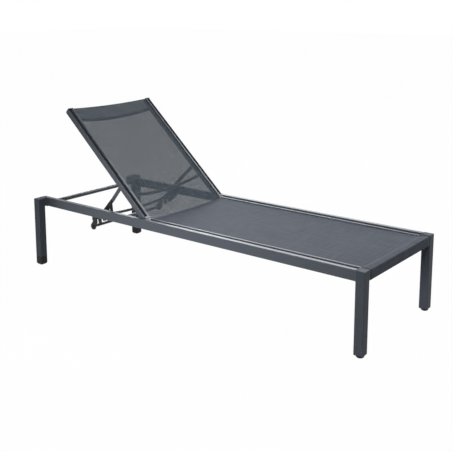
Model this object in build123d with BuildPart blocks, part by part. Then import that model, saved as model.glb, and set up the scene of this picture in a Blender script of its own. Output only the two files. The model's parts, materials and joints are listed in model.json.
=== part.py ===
"""Reclining sun lounger: an aluminium frame with a sling seat and a propped, hinged backrest.

X runs along the bed with the foot end at +X, Y across it, Z up. The origin is on the ground
under the middle of the bed. "Right" is the lying person's right, at -Y.
"""

from build123d import *
import os
from math import cos, radians, sin

os.makedirs("parts", exist_ok=True)

SIDES = (("right", -1), ("left", 1))

# ---- frame ----------------------------------------------------------------
overall_length = 1900.0
deck_height = 355.0
frame_width = 635.0
front_leg_proud = 2.5
rear_leg_gap = 17.5
leg_size = 40.0
leg_wall = 2.5
leg_corner_radius = 2.0
rail_height = 45.0
rail_thickness = 22.0
rail_wall = 2.0
rail_corner_radius = 2.0
front_foot_height = 13.5
front_foot_flange = 2.5
front_glide_diameter = 34.0
front_glide_rounding = 8.0
rear_foot_height = 45.0
rear_foot_taper = 5.0
rear_foot_taper_height = 7.0
foot_spigot_length = 22.0
foot_inset = 1.5
plug_thickness = 2.0
plug_spigot_length = 20.0
plug_clearance = 0.2
corner_length = 29.0
corner_radius = 10.0
rear_crossbar_diameter = 22.0
rear_crossbar_wall = 1.5
rear_crossbar_from_end = 44.0
rear_crossbar_drop = 28.0
front_crossbar_depth = 30.0
front_crossbar_height = 41.0
front_crossbar_wall = 2.0

# ---- sling track, an extrusion used for the seat and the backrest -------------
track_width = 31.5
track_height = 30.0
track_wall = 2.0
track_box_height = 18.0
lip_width = 12.0
lip_rounding = 3.0
track_wall_drop = 4.0
bead_bore = 7.5
bead_diameter = 6.5
slot_height = 2.0
slot_depth_below_lip = 5.5
track_to_rail_gap = 2.0

# ---- sling ------------------------------------------------------------------
sling_thickness = 3.0
seat_sling_gap = 0.3
seat_sling_to_hinge = 10.8
seat_lip_below_deck = 2.0
front_wrap_half_width = 271.0

# ---- seat -------------------------------------------------------------------
seat_track_front_gap = 5.0
spreader_diameter = 20.0
spreader_wall = 1.5
spreader_bow = 30.0
rear_spreader_inset = 43.0
rivet_inset = 58.0
rivet_count = 4
rivet_diameter = 4.8
rivet_head_diameter = 8.0
rivet_head_height = 1.5

# ---- backrest ---------------------------------------------------------------
backrest_angle = 42.25
hinge_from_head = 728.7
hinge_below_deck = 18.0
hinge_to_lip = 16.0
backrest_length = 727.7
shoe_length = 21.7
shoe_spigot_length = 20.0
shoe_flange = 10.0
knuckle_radius = 12.5
knuckle_to_seat_track = 0.8
end_cap_length = 6.0
bow_diameter = 16.0
bow_wall = 1.5
bow_end_depth = 21.0
top_bow_position = 662.7
top_bow_depth = 29.0
lower_bow_position = 175.7
lower_bow_depth = 56.0
sling_start = 4.0
sling_end = 724.0

# ---- hinge and prop bolts -----------------------------------------------------
hinge_bolt_diameter = 10.0
hinge_bolt_head_diameter = 16.0
hinge_washer_diameter = 22.0
bolt_head_height = 4.5
nut_thickness = 5.0
running_clearance = 0.3
pin_clearance = 0.08

# ---- prop: struts, notched plates, bow and lower tube --------------------------
# "back" is towards the head end and "down" is towards the ground, both from the prop's pivot.
prop_bolt_diameter = 8.0
prop_bolt_head_diameter = 14.0
prop_nut_across_flats = 13.0
hinge_nut_across_flats = 16.0
prop_pivot_position = 240.0
plate_to_track_gap = 15.0
plate_thickness = 4.0
strut_thickness = 6.0
strut_width = 18.0
strut_length = 196.0
strut_angle = 46.8
strut_top_gap = 3.0
strut_bend_start = 20.0
strut_bend_end = 137.0
prop_bow_back = 154.0
prop_bow_down = 183.0
prop_bow_diameter = 14.0
prop_bow_wall = 1.5
prop_bow_depth = 38.0
prop_bow_angle = 45.0
prop_tube_back = 239.0
prop_tube_down = 263.0
prop_tube_diameter = 15.0
prop_tube_wall = 1.5
prop_plug_length = 5.0
prop_plug_spigot = 12.0
plate_tip_radius = 18.0
notch_radius = 4.6
notch_half_mouth = 8.0
notch_length = 34.0
notch_lean = 8.0
first_notch = (176.0, 204.0)
second_notch = (207.0, 222.0)
plate_hole_diameter = 8.0
plate_holes = ((115.0, 154.0), (113.0, 134.0), (210.0, 245.0))
plate_front_edge = ((102.0, 100.0), (94.0, 107.0), (98.0, 113.0), (92.0, 164.0))
first_finger = ((150.0, 219.0), (162.0, 219.0))
second_finger = ((180.0, 237.0), (192.0, 238.0))
third_finger = ((214.0, 257.0), (226.0, 258.0))
plate_rear_edge = ((230.0, 216.0), (156.0, 157.0), (109.0, 108.0))
plate_rivet_spacing = 26.0

# ---- catches on the side rails ------------------------------------------------
catch_thickness = 3.0
catch_width = 30.0
catch_above_rail_bottom = 17.0
catch_below_rail_bottom = 27.0
stud_diameter = 8.0
stud_gap = 0.5
catch_rivet_spacing = 16.0
catch_rivet_below_top = 9.0

# ---- worked out -------------------------------------------------------------------
half_length = overall_length / 2
rail_bottom = deck_height - rail_height
rail_outer = frame_width / 2
rail_inner = rail_outer - rail_thickness
rail_front = half_length - leg_size
hinge_x = -half_length + hinge_from_head
hinge_z = deck_height - hinge_below_deck
rail_middle = (rail_outer + rail_inner) / 2
rail_mid_height = deck_height - rail_height / 2
front_leg_centre = rail_outer + front_leg_proud - leg_size / 2
rear_leg_centre = rail_outer + rear_leg_gap + leg_size / 2
leg_bore = leg_size - 2 * leg_wall
seat_lip_height = deck_height - seat_lip_below_deck
backrest_track_outer = rail_inner - track_to_rail_gap
lip_inner = backrest_track_outer - track_width
seat_track_width = rail_inner - lip_inner
sling_half_width = lip_inner - seat_sling_gap
bead_centre = lip_inner + lip_width / 2
seat_track_rear = hinge_x + knuckle_radius + knuckle_to_seat_track
seat_track_front = rail_front - seat_track_front_gap
rear_spreader_x = seat_track_rear + rear_spreader_inset
front_spreader_x = (seat_track_rear + seat_track_front) / 2
rivet_spacing = (seat_track_front - seat_track_rear - 2 * rivet_inset) / (rivet_count - 1)
box_inner_height = track_box_height - 2 * track_wall
box_mid_depth = track_height - track_box_height / 2
crossbar_x = -half_length + rear_crossbar_from_end
crossbar_z = deck_height - rear_crossbar_drop
angle = radians(backrest_angle)
along = Vector(-cos(angle), 0, sin(angle))
outward = Vector(sin(angle), 0, cos(angle))
hinge_axis = Vector(hinge_x, 0, hinge_z)
lip_origin = hinge_axis + outward * hinge_to_lip
prop_pivot = lip_origin + along * prop_pivot_position - outward * box_mid_depth
plate_outer_offset = lip_inner - plate_to_track_gap
plate_inner_offset = plate_outer_offset - plate_thickness
strut_inner_offset = plate_inner_offset - strut_thickness
strut_top_outer = lip_inner - strut_top_gap
strut_direction = Vector(-cos(radians(strut_angle)), 0, -sin(radians(strut_angle)))
bow_direction = Vector(-cos(radians(prop_bow_angle)), 0, -sin(radians(prop_bow_angle)))
prop_bow_x = prop_pivot.X - prop_bow_back
prop_bow_z = prop_pivot.Z - prop_bow_down
stud_x = prop_pivot.X - first_notch[0]
stud_z = prop_pivot.Z - first_notch[1]
catch_top = rail_bottom + catch_above_rail_bottom
catch_bottom = rail_bottom - catch_below_rail_bottom


def write(builder, label):
    """Label a finished piece and write its file."""
    builder.part.label = label
    export_step(builder.part, f"parts/{label}.step")


def across(y):
    """Plane at a given Y with local x along X and local y up; its normal is -Y."""
    return Plane(origin=(0, y, 0), x_dir=(1, 0, 0), z_dir=(0, -1, 0))


def seat_section(x):
    """Plane square to the bed at a given X; local x is Y and local y is height above the lip."""
    return Plane(origin=(x, 0, seat_lip_height), x_dir=(0, 1, 0), z_dir=(1, 0, 0))


def prop_side(y):
    """Plane at a given Y through the prop's pivot; local x runs back, local y down, normal -Y."""
    return Plane(origin=(prop_pivot.X, y, prop_pivot.Z), x_dir=(-1, 0, 0), z_dir=(0, -1, 0))


def backrest_section(position):
    """Plane square to the backrest; local x runs towards -Y and local y out of the lip side."""
    return Plane(origin=lip_origin + along * position, x_dir=(0, -1, 0), z_dir=along)


def backrest_side(y):
    """Plane along the backrest at a given Y; local x runs up the backrest, local y outward."""
    return Plane(origin=lip_origin + Vector(0, y, 0), x_dir=along, z_dir=(0, 1, 0))


def track_outline(side, width):
    """Section of the sling track: closed box, outer wall and bored lip. Lip top at height 0."""
    outer = lip_inner + width
    middle = side * (lip_inner + outer) / 2
    with Locations((middle, -box_mid_depth)):
        Rectangle(width, track_box_height)
        Rectangle(width - 2 * track_wall, box_inner_height, mode=Mode.SUBTRACT)
    wall_height = track_height - track_box_height - track_wall_drop
    with Locations((side * (outer - track_wall / 2), -track_wall_drop - wall_height / 2)):
        Rectangle(track_wall, wall_height)
    lip_base_height = track_height - track_box_height - lip_rounding
    with Locations((side * bead_centre, -lip_rounding - lip_base_height / 2)):
        Rectangle(lip_width, lip_base_height)
    with Locations((side * bead_centre, -lip_rounding)):
        SlotOverall(lip_width, 2 * lip_rounding)
    with Locations((side * bead_centre, -slot_depth_below_lip)):
        Circle(bead_bore / 2, mode=Mode.SUBTRACT)
    with Locations((side * (bead_centre - lip_width / 4), -slot_depth_below_lip)):
        Rectangle(lip_width / 2, slot_height, mode=Mode.SUBTRACT)


def box_outline(side, width, clearance):
    """The hollow of the track's box, less a clearance all round."""
    outer = lip_inner + width
    with Locations((side * (lip_inner + outer) / 2, -box_mid_depth)):
        Rectangle(width - 2 * track_wall - 2 * clearance, box_inner_height - 2 * clearance)


def bowed_tube(plane, half_width, bow, diameter, wall):
    """Tube across the bed between two flat ends, bowed along the plane's local y.

    The plane's local x runs across the bed; its origin is midway between the tube's ends.
    """
    start_angle = 2 * (bow / half_width)
    overrun = diameter * start_angle
    chord = half_width + overrun
    slope = overrun * start_angle
    with BuildPart() as tube:
        with BuildLine(plane) as path:
            ThreePointArc((-chord, slope), (0, -bow), (chord, slope))
        with BuildSketch(Plane(origin=path.line @ 0, z_dir=path.line % 0)):
            Circle(diameter / 2)
            Circle(diameter / 2 - wall, mode=Mode.SUBTRACT)
        sweep()
        with BuildSketch(Plane(origin=plane.origin, x_dir=plane.x_dir, z_dir=plane.z_dir)):
            Rectangle(2 * half_width, 4 * (bow + diameter))
        extrude(amount=2 * diameter, both=True, mode=Mode.INTERSECT)
    return tube


# ---- side rails, legs, corners and feet -------------------------------------------
for name, side in SIDES:
    with BuildPart() as side_rail:
        with BuildSketch(Plane.YZ.offset(-half_length + plug_thickness)):
            with Locations((side * rail_middle, rail_mid_height)):
                RectangleRounded(rail_thickness, rail_height, rail_corner_radius)
                Rectangle(
                    rail_thickness - 2 * rail_wall, rail_height - 2 * rail_wall, mode=Mode.SUBTRACT
                )
        extrude(amount=rail_front + half_length - plug_thickness)
        with BuildSketch(across(side * rail_inner)):
            with Locations((hinge_x, hinge_z)):
                Circle(hinge_bolt_diameter / 2)
        extrude(amount=-side * rail_wall, mode=Mode.SUBTRACT)
    write(side_rail, f"side_rail_{name}")

    with BuildPart() as rail_plug:
        with BuildSketch(Plane.YZ.offset(-half_length)):
            with Locations((side * rail_middle, rail_mid_height)):
                RectangleRounded(rail_thickness, rail_height, rail_corner_radius)
        extrude(amount=plug_thickness)
        with BuildSketch(Plane.YZ.offset(-half_length + plug_thickness)):
            with Locations((side * rail_middle, rail_mid_height)):
                Rectangle(
                    rail_thickness - 2 * (rail_wall + plug_clearance),
                    rail_height - 2 * (rail_wall + plug_clearance),
                )
        extrude(amount=plug_spigot_length)
        rail_plug_rim = rail_plug.faces().sort_by(Axis.X)[0].edges()
        chamfer(rail_plug_rim, length=plug_thickness / 4)
    write(rail_plug, f"rail_plug_{name}")

    for end, x, y, foot in (
        ("front", half_length - leg_size / 2, side * front_leg_centre, front_foot_height),
        ("rear", -half_length + leg_size / 2, side * rear_leg_centre, rear_foot_height),
    ):
        with BuildPart() as leg:
            with BuildSketch(Plane.XY.offset(foot)):
                with Locations((x, y)):
                    RectangleRounded(leg_size, leg_size, leg_corner_radius)
            extrude(amount=deck_height - foot)
            with BuildSketch(Plane.XY.offset(foot)):
                with Locations((x, y)):
                    Rectangle(leg_bore, leg_bore)
            extrude(amount=deck_height - foot - leg_wall, mode=Mode.SUBTRACT)
        write(leg, f"{end}_leg_{name}")

    with BuildPart() as front_foot:
        with BuildSketch(Plane.XY):
            with Locations((half_length - leg_size / 2, side * front_leg_centre)):
                Circle(front_glide_diameter / 2)
        extrude(amount=front_foot_height - front_foot_flange)
        fillet(front_foot.faces().sort_by(Axis.Z)[0].edges(), front_glide_rounding)
        with BuildSketch(Plane.XY.offset(front_foot_height)):
            with Locations((half_length - leg_size / 2, side * front_leg_centre)):
                Rectangle(leg_size - 2 * foot_inset, leg_size - 2 * foot_inset)
        extrude(amount=-front_foot_flange)
        with BuildSketch(Plane.XY.offset(front_foot_height)):
            with Locations((half_length - leg_size / 2, side * front_leg_centre)):
                Rectangle(leg_bore - 2 * plug_clearance, leg_bore - 2 * plug_clearance)
        extrude(amount=foot_spigot_length)
    write(front_foot, f"front_foot_{name}")

    with BuildPart() as rear_foot:
        tread_size = leg_size - 2 * rear_foot_taper
        with BuildSketch(Plane.XY):
            with Locations((-half_length + leg_size / 2, side * rear_leg_centre)):
                RectangleRounded(tread_size, tread_size, leg_corner_radius)
        with BuildSketch(Plane.XY.offset(rear_foot_taper_height)):
            with Locations((-half_length + leg_size / 2, side * rear_leg_centre)):
                RectangleRounded(leg_size, leg_size, leg_corner_radius)
        loft()
        with BuildSketch(Plane.XY.offset(rear_foot_taper_height)):
            with Locations((-half_length + leg_size / 2, side * rear_leg_centre)):
                RectangleRounded(leg_size, leg_size, leg_corner_radius)
        extrude(amount=rear_foot_height - rear_foot_taper_height)
        with BuildSketch(Plane.XY.offset(rear_foot_height)):
            with Locations((-half_length + leg_size / 2, side * rear_leg_centre)):
                Rectangle(leg_bore - 2 * plug_clearance, leg_bore - 2 * plug_clearance)
        extrude(amount=foot_spigot_length)
    write(rear_foot, f"rear_foot_{name}")

    with BuildPart() as rear_corner:
        corner_x = -half_length + corner_length
        with BuildSketch(Plane.XY.offset(rail_bottom)):
            with Locations((corner_x - corner_length / 2, side * (rail_outer + rear_leg_gap / 2))):
                Rectangle(corner_length, rear_leg_gap)
            with Locations((corner_x + corner_radius / 2, side * (rail_outer + corner_radius / 2))):
                Rectangle(corner_radius, corner_radius)
            with Locations((corner_x + corner_radius, side * (rail_outer + corner_radius))):
                Circle(corner_radius, mode=Mode.SUBTRACT)
        extrude(amount=rail_height)
    write(rear_corner, f"rear_corner_{name}")

# ---- crossbars --------------------------------------------------------------------
with BuildPart() as rear_crossbar:
    with BuildSketch(across(0)):
        with Locations((crossbar_x, crossbar_z)):
            Circle(rear_crossbar_diameter / 2)
            Circle(rear_crossbar_diameter / 2 - rear_crossbar_wall, mode=Mode.SUBTRACT)
    extrude(amount=rail_inner, both=True)
write(rear_crossbar, "rear_crossbar")

front_crossbar_top = deck_height - sling_thickness - seat_sling_gap - 1.0
front_crossbar_face = half_length - sling_thickness - seat_sling_gap
with BuildPart() as front_crossbar:
    with BuildSketch(across(0)):
        with Locations(
            (
                front_crossbar_face - front_crossbar_depth / 2,
                front_crossbar_top - front_crossbar_height / 2,
            )
        ):
            RectangleRounded(front_crossbar_depth, front_crossbar_height, rail_corner_radius)
            Rectangle(
                front_crossbar_depth - 2 * front_crossbar_wall,
                front_crossbar_height - 2 * front_crossbar_wall,
                mode=Mode.SUBTRACT,
            )
    extrude(amount=front_leg_centre - leg_size / 2, both=True)
write(front_crossbar, "front_crossbar")

# ---- seat: tracks, rivets, spreaders and sling ---------------------------------------
for name, side in SIDES:
    with BuildPart() as seat_track:
        with BuildSketch(seat_section(seat_track_rear)):
            track_outline(side, seat_track_width)
        extrude(amount=seat_track_front - seat_track_rear)
    write(seat_track, f"seat_track_{name}")

with BuildPart() as track_plugs:
    for name, side in SIDES:
        with BuildSketch(seat_section(seat_track_front)):
            with Locations((side * (lip_inner + seat_track_width / 2), -track_height / 2)):
                Rectangle(seat_track_width, track_height)
        extrude(amount=seat_track_front_gap)
        with BuildSketch(seat_section(seat_track_front)):
            box_outline(side, seat_track_width, plug_clearance)
        extrude(amount=-plug_spigot_length)
write(track_plugs, "seat_track_plugs")

groove_height = seat_lip_height - (track_height - track_box_height + track_wall_drop) / 2
with BuildPart() as track_rivets:
    for name, side in SIDES:
        with BuildSketch(across(side * (rail_inner - track_wall))):
            for step in range(rivet_count):
                with Locations((seat_track_rear + rivet_inset + rivet_spacing * step, groove_height)):
                    Circle(rivet_head_diameter / 2)
        extrude(amount=side * rivet_head_height)
write(track_rivets, "track_rivets")

for label, x in (("rear", rear_spreader_x), ("front", front_spreader_x)):
    spreader_height = seat_lip_height - box_mid_depth - track_wall
    spreader_plane = Plane(origin=(x, 0, spreader_height), x_dir=(0, 1, 0), z_dir=(1, 0, 0))
    spreader = bowed_tube(
        spreader_plane, lip_inner, spreader_bow, spreader_diameter, spreader_wall
    )
    write(spreader, f"seat_spreader_{label}")

sling_top = seat_lip_height - slot_depth_below_lip + sling_thickness / 2
sling_rear = hinge_x + seat_sling_to_hinge
with BuildPart() as seat_sling:
    bar_rear = front_crossbar_face - front_crossbar_depth
    with BuildSketch(across(0)):
        with BuildLine():
            Polyline(
                (sling_rear, sling_top),
                (seat_track_front, sling_top),
                (bar_rear, front_crossbar_top + seat_sling_gap + sling_thickness),
                (half_length, front_crossbar_top + seat_sling_gap + sling_thickness),
                (half_length, front_crossbar_top - front_crossbar_height),
                (half_length - sling_thickness, front_crossbar_top - front_crossbar_height),
                (half_length - sling_thickness, front_crossbar_top + seat_sling_gap),
                (bar_rear - seat_sling_gap, front_crossbar_top + seat_sling_gap),
                (seat_track_front, sling_top - sling_thickness),
                (sling_rear, sling_top - sling_thickness),
                close=True,
            )
        make_face()
    extrude(amount=sling_half_width, both=True)
write(seat_sling, "seat_sling")

# ---- backrest ------------------------------------------------------------------------
track_start = shoe_length
track_end = backrest_length - end_cap_length
for name, side in SIDES:
    with BuildPart() as backrest_track:
        with BuildSketch(backrest_section(track_start)):
            track_outline(-side, track_width)
        extrude(amount=track_end - track_start)
        with BuildSketch(across(side * lip_inner)):
            with Locations((prop_pivot.X, prop_pivot.Z)):
                Circle(prop_bolt_diameter / 2)
        extrude(amount=-side * track_wall, mode=Mode.SUBTRACT)
    write(backrest_track, f"backrest_track_{name}")

    with BuildPart() as end_cap:
        with BuildSketch(backrest_section(track_end)):
            with Locations((-side * (lip_inner + track_width / 2), -track_height / 2)):
                RectangleRounded(track_width, track_height, end_cap_length / 2)
        extrude(amount=end_cap_length)
        fillet(end_cap.faces().sort_by(Axis(lip_origin, along))[-1].edges(), end_cap_length / 3)
        with BuildSketch(backrest_section(track_end)):
            box_outline(-side, track_width, plug_clearance)
        extrude(amount=-plug_spigot_length)
    write(end_cap, f"backrest_end_cap_{name}")

    with BuildPart() as hinge_shoe:
        knuckle_inner = lip_inner + running_clearance
        knuckle_width = rail_inner - bolt_head_height - knuckle_inner
        with BuildSketch(backrest_side(side * knuckle_inner)):
            with Locations((0, -hinge_to_lip)):
                Circle(knuckle_radius)
            with Locations((shoe_length / 2, -hinge_to_lip)):
                Rectangle(shoe_length, 2 * knuckle_radius)
        extrude(amount=side * knuckle_width)
        with BuildSketch(backrest_section(shoe_length)):
            with Locations((-side * (lip_inner + track_width / 2), -track_height / 2)):
                Rectangle(track_width, track_height)
        extrude(amount=-shoe_flange)
        with BuildSketch(backrest_section(shoe_length)):
            box_outline(-side, track_width, plug_clearance)
        extrude(amount=shoe_spigot_length)
        with BuildSketch(across(0)):
            with Locations((hinge_x, hinge_z)):
                Circle(hinge_bolt_diameter / 2 + pin_clearance)
        extrude(amount=frame_width, both=True, mode=Mode.SUBTRACT)
    write(hinge_shoe, f"hinge_shoe_{name}")

    with BuildPart() as hinge_bolt:
        with BuildSketch(across(side * lip_inner)):
            with Locations((hinge_x, hinge_z)):
                Circle(hinge_bolt_head_diameter / 2)
        extrude(amount=side * bolt_head_height)
        with BuildSketch(across(side * lip_inner)):
            with Locations((hinge_x, hinge_z)):
                Circle(hinge_bolt_diameter / 2)
        extrude(amount=-side * (rail_inner + rail_wall + nut_thickness - lip_inner))
    write(hinge_bolt, f"hinge_bolt_{name}")

for label, position, depth in (
    ("top", top_bow_position, top_bow_depth),
    ("lower", lower_bow_position, lower_bow_depth),
):
    section = backrest_section(position)
    bow_plane = Plane(
        origin=section.origin - outward * bow_end_depth, x_dir=section.x_dir, z_dir=section.z_dir
    )
    bow = bowed_tube(bow_plane, lip_inner, depth, bow_diameter, bow_wall)
    write(bow, f"backrest_{label}_bow")

with BuildPart() as backrest_sling:
    with BuildSketch(backrest_section(sling_start)):
        with Locations((0, -slot_depth_below_lip)):
            Rectangle(2 * sling_half_width, sling_thickness)
    extrude(amount=sling_end - sling_start)
write(backrest_sling, "backrest_sling")

# ---- sling bead rods in the lips -------------------------------------------------------
with BuildPart() as seat_beads:
    for name, side in SIDES:
        with BuildSketch(seat_section(seat_track_rear)):
            with Locations((side * bead_centre, -slot_depth_below_lip)):
                Circle(bead_diameter / 2)
        extrude(amount=seat_track_front - seat_track_rear)
write(seat_beads, "seat_bead_rods")

with BuildPart() as backrest_beads:
    for name, side in SIDES:
        with BuildSketch(backrest_section(track_start)):
            with Locations((-side * bead_centre, -slot_depth_below_lip)):
                Circle(bead_diameter / 2)
        extrude(amount=track_end - track_start)
write(backrest_beads, "backrest_bead_rods")

# ---- hinge washers and nuts ---------------------------------------------------------------
with BuildPart() as hinge_washers:
    for name, side in SIDES:
        with BuildSketch(across(side * rail_inner)):
            with Locations((hinge_x, hinge_z)):
                Circle(hinge_washer_diameter / 2)
                Circle(hinge_bolt_diameter / 2, mode=Mode.SUBTRACT)
        extrude(amount=side * (bolt_head_height - running_clearance))
write(hinge_washers, "hinge_washers")

with BuildPart() as hinge_nuts:
    for name, side in SIDES:
        with BuildSketch(across(side * (rail_inner + rail_wall))):
            with Locations((hinge_x, hinge_z)):
                RegularPolygon(hinge_nut_across_flats / 2, 6, major_radius=False)
                Circle(hinge_bolt_diameter / 2, mode=Mode.SUBTRACT)
        extrude(amount=-side * nut_thickness)
write(hinge_nuts, "hinge_nuts")

# ---- prop ---------------------------------------------------------------------------------
strut_end = prop_pivot + strut_direction * strut_length
for name, side in SIDES:
    with BuildPart() as strut:
        strut_plane = Plane(
            origin=prop_pivot + Vector(0, side * strut_inner_offset, 0),
            x_dir=strut_direction,
            z_dir=(0, 1, 0),
        )
        with BuildSketch(strut_plane):
            with Locations((strut_length / 2, 0)):
                SlotCenterToCenter(strut_length, strut_width)
            Circle(prop_bolt_diameter / 2 + pin_clearance, mode=Mode.SUBTRACT)
        extrude(amount=side * (strut_top_outer - strut_inner_offset))
        bend_plane = Plane(
            origin=prop_pivot, x_dir=strut_direction, z_dir=strut_direction.cross(Vector(0, side, 0))
        )
        with BuildSketch(bend_plane):
            with BuildLine():
                Polyline(
                    (-strut_width, strut_top_outer),
                    (strut_bend_start, strut_top_outer),
                    (strut_bend_end, plate_inner_offset),
                    (strut_length + strut_width, plate_inner_offset),
                    (strut_length + strut_width, strut_inner_offset),
                    (strut_bend_end, strut_inner_offset),
                    (strut_bend_start, strut_top_outer - strut_thickness),
                    (-strut_width, strut_top_outer - strut_thickness),
                    close=True,
                )
            make_face()
        extrude(amount=strut_width, both=True, mode=Mode.INTERSECT)
    write(strut, f"prop_strut_{name}")

    with BuildPart() as notched_plate:
        with BuildSketch(prop_side(side * plate_inner_offset)):
            with BuildLine():
                Polyline(
                    *plate_front_edge,
                    *first_finger,
                    *second_finger,
                    *third_finger,
                    (prop_tube_back, prop_tube_down + plate_tip_radius),
                    (prop_tube_back + plate_tip_radius, prop_tube_down),
                    *plate_rear_edge,
                    close=True,
                )
            make_face()
            with Locations((prop_tube_back, prop_tube_down)):
                Circle(plate_tip_radius)
                Circle(prop_tube_diameter / 2, mode=Mode.SUBTRACT)
            for notch_back, notch_down in (first_notch, second_notch):
                mouth_back = notch_back - notch_lean
                mouth_down = notch_down + notch_length
                with BuildLine():
                    Polyline(
                        (notch_back - notch_radius, notch_down),
                        (mouth_back - notch_half_mouth, mouth_down),
                        (mouth_back + notch_half_mouth, mouth_down),
                        (notch_back + notch_radius, notch_down),
                        close=True,
                    )
                make_face(mode=Mode.SUBTRACT)
                with Locations((notch_back, notch_down)):
                    Circle(notch_radius, mode=Mode.SUBTRACT)
            with Locations(plate_holes):
                Circle(plate_hole_diameter / 2, mode=Mode.SUBTRACT)
        extrude(amount=-side * plate_thickness)
    write(notched_plate, f"notched_plate_{name}")

with BuildPart() as plate_rivets:
    for name, side in SIDES:
        with BuildSketch(across(side * strut_inner_offset)):
            for step in (0, 1):
                spot = strut_end - strut_direction * plate_rivet_spacing * step
                with Locations((spot.X, spot.Z)):
                    Circle(rivet_head_diameter / 2)
        extrude(amount=side * rivet_head_height)
write(plate_rivets, "plate_rivets")

prop_bow_plane = Plane(
    origin=(prop_bow_x, 0, prop_bow_z), x_dir=(0, 1, 0), z_dir=Vector(0, 1, 0).cross(-bow_direction)
)
prop_bow = bowed_tube(
    prop_bow_plane, plate_inner_offset, prop_bow_depth, prop_bow_diameter, prop_bow_wall
)
write(prop_bow, "prop_bow")

with BuildPart() as prop_tube:
    with BuildSketch(prop_side(0)):
        with Locations((prop_tube_back, prop_tube_down)):
            Circle(prop_tube_diameter / 2)
            Circle(prop_tube_diameter / 2 - prop_tube_wall, mode=Mode.SUBTRACT)
    extrude(amount=plate_outer_offset, both=True)
write(prop_tube, "prop_tube")

with BuildPart() as prop_tube_plugs:
    for name, side in SIDES:
        with BuildSketch(prop_side(side * plate_outer_offset)):
            with Locations((prop_tube_back, prop_tube_down)):
                Circle(prop_tube_diameter / 2)
        extrude(amount=-side * prop_plug_length)
        outer_rim = prop_tube_plugs.faces().filter_by(Axis.Y).sort_by(Axis.Y)[0 if side < 0 else -1]
        fillet(outer_rim.edges(), prop_plug_length * 0.8)
        with BuildSketch(prop_side(side * plate_outer_offset)):
            with Locations((prop_tube_back, prop_tube_down)):
                Circle(prop_tube_diameter / 2 - prop_tube_wall - plug_clearance / 2)
        extrude(amount=side * prop_plug_spigot)
write(prop_tube_plugs, "prop_tube_plugs")

# ---- prop pivots on the backrest tracks ------------------------------------------------------
for name, side in SIDES:
    with BuildPart() as prop_bolt:
        head_offset = strut_top_outer - strut_thickness - running_clearance
        with BuildSketch(across(side * head_offset)):
            with Locations((prop_pivot.X, prop_pivot.Z)):
                Circle(prop_bolt_head_diameter / 2)
        extrude(amount=side * bolt_head_height)
        with BuildSketch(across(side * head_offset)):
            with Locations((prop_pivot.X, prop_pivot.Z)):
                Circle(prop_bolt_diameter / 2)
        extrude(amount=-side * (lip_inner + track_wall + nut_thickness - head_offset))
    write(prop_bolt, f"prop_bolt_{name}")

with BuildPart() as prop_spacers:
    for name, side in SIDES:
        with BuildSketch(across(side * lip_inner)):
            with Locations((prop_pivot.X, prop_pivot.Z)):
                Circle(prop_bolt_head_diameter / 2)
                Circle(prop_bolt_diameter / 2, mode=Mode.SUBTRACT)
        extrude(amount=side * (strut_top_gap - running_clearance))
write(prop_spacers, "prop_spacers")

with BuildPart() as prop_nuts:
    for name, side in SIDES:
        nut_plane = backrest_side(side * (lip_inner + track_wall))
        with BuildSketch(nut_plane):
            with Locations((prop_pivot_position, -box_mid_depth)):
                RegularPolygon(prop_nut_across_flats / 2, 6, major_radius=False)
                Circle(prop_bolt_diameter / 2, mode=Mode.SUBTRACT)
        extrude(amount=side * nut_thickness)
write(prop_nuts, "prop_nuts")

# ---- catches that the notches hook on -----------------------------------------------------------
for name, side in SIDES:
    with BuildPart() as catch:
        plate_face = rail_inner - catch_thickness
        stud_end = plate_outer_offset + stud_gap
        with BuildSketch(across(side * rail_inner)):
            with Locations((stud_x, (catch_top + catch_bottom) / 2)):
                RectangleRounded(catch_width, catch_top - catch_bottom, catch_thickness)
        extrude(amount=side * catch_thickness)
        with BuildSketch(across(side * plate_face)):
            with Locations((stud_x, stud_z)):
                Circle(stud_diameter / 2)
        extrude(amount=side * (plate_face - stud_end))
    write(catch, f"catch_{name}")

with BuildPart() as catch_rivets:
    for name, side in SIDES:
        with BuildSketch(across(side * (rail_inner - catch_thickness))):
            with Locations((stud_x, catch_top - catch_rivet_below_top)):
                with GridLocations(catch_rivet_spacing, 1, 2, 1):
                    Circle(rivet_diameter)
        extrude(amount=side * rivet_head_height)
write(catch_rivets, "catch_rivets")
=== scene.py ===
import json
import math

import bmesh
import bpy
from bpy.props import FloatProperty, FloatVectorProperty, PointerProperty
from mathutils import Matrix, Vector


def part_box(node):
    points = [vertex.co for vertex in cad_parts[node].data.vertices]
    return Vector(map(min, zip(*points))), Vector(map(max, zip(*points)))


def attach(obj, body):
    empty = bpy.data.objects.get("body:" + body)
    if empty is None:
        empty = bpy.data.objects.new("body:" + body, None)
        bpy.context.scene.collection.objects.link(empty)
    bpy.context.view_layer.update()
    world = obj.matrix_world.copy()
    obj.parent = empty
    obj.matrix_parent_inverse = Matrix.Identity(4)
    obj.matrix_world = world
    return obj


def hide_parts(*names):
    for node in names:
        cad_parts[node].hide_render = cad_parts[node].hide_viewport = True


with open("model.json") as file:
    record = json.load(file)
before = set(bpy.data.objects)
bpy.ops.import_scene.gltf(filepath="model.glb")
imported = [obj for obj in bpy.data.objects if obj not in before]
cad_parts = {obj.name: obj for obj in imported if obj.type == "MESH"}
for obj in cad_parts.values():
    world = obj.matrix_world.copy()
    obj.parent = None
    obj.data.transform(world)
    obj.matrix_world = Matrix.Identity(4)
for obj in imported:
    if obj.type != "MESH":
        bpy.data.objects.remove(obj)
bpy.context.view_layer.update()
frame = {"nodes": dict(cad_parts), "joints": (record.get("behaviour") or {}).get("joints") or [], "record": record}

bl_info = {
    "name": "Sling Sun Lounger",
    "version": (1, 0, 0),
    "blender": (4, 5, 0),
    "location": "View3D > Sidebar > Lounger",
    "description": "Finishes of a reclining sun lounger: powder coat, mesh slings, stitching, welds, studio",
    "category": "Object",
}

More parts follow.
